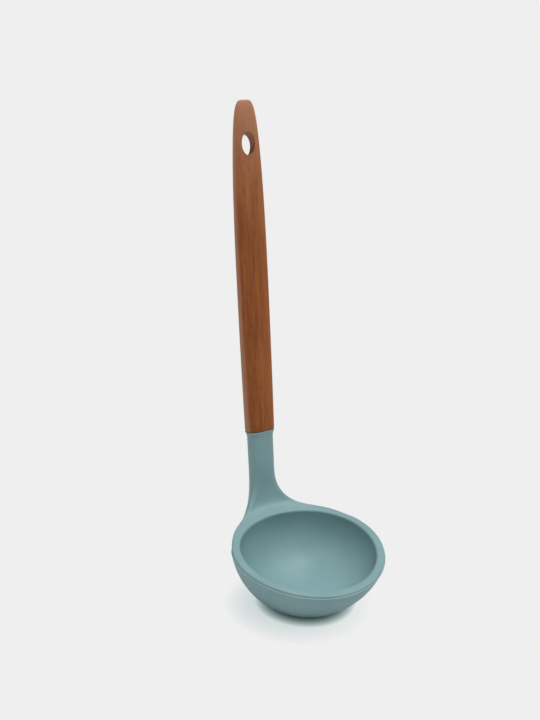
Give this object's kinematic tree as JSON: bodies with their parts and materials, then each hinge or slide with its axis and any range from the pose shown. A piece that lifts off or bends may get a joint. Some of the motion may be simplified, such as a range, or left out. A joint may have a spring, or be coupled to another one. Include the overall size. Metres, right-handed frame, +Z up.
{
  "type": "soup ladle",
  "caption": "Soup ladle with a deep grey-green silicone bowl moulded over a stiff nylon core, and an oiled acacia handle with an oval hanging hole.",
  "frame": {"origin": "on the flat under the bowl, on which the ladle stands, below the bottom of the bowl's inside", "axes": "+Z is up along the length of the ladle, +X is the width across the handle's front face, and the handle rises on the +Y side, so that -Y is the side of the bowl furthest from the handle; x = 0 is the plane of symmetry"},
  "size_m": [0.0908, 0.1199, 0.2909],
  "materials": {
    "silicone_moulded": "matte moulded",
    "nylon_glass_filled": "as moulded",
    "epoxy_cured": "cured, unseen",
    "acacia_oiled": "sanded and oiled"
  },
  "bodies": {
    "root": {"silicone_skin": "silicone_moulded", "nylon_core": "nylon_glass_filled", "tang_adhesive": "epoxy_cured", "wooden_handle": "acacia_oiled"}
  },
  "joints": []
}
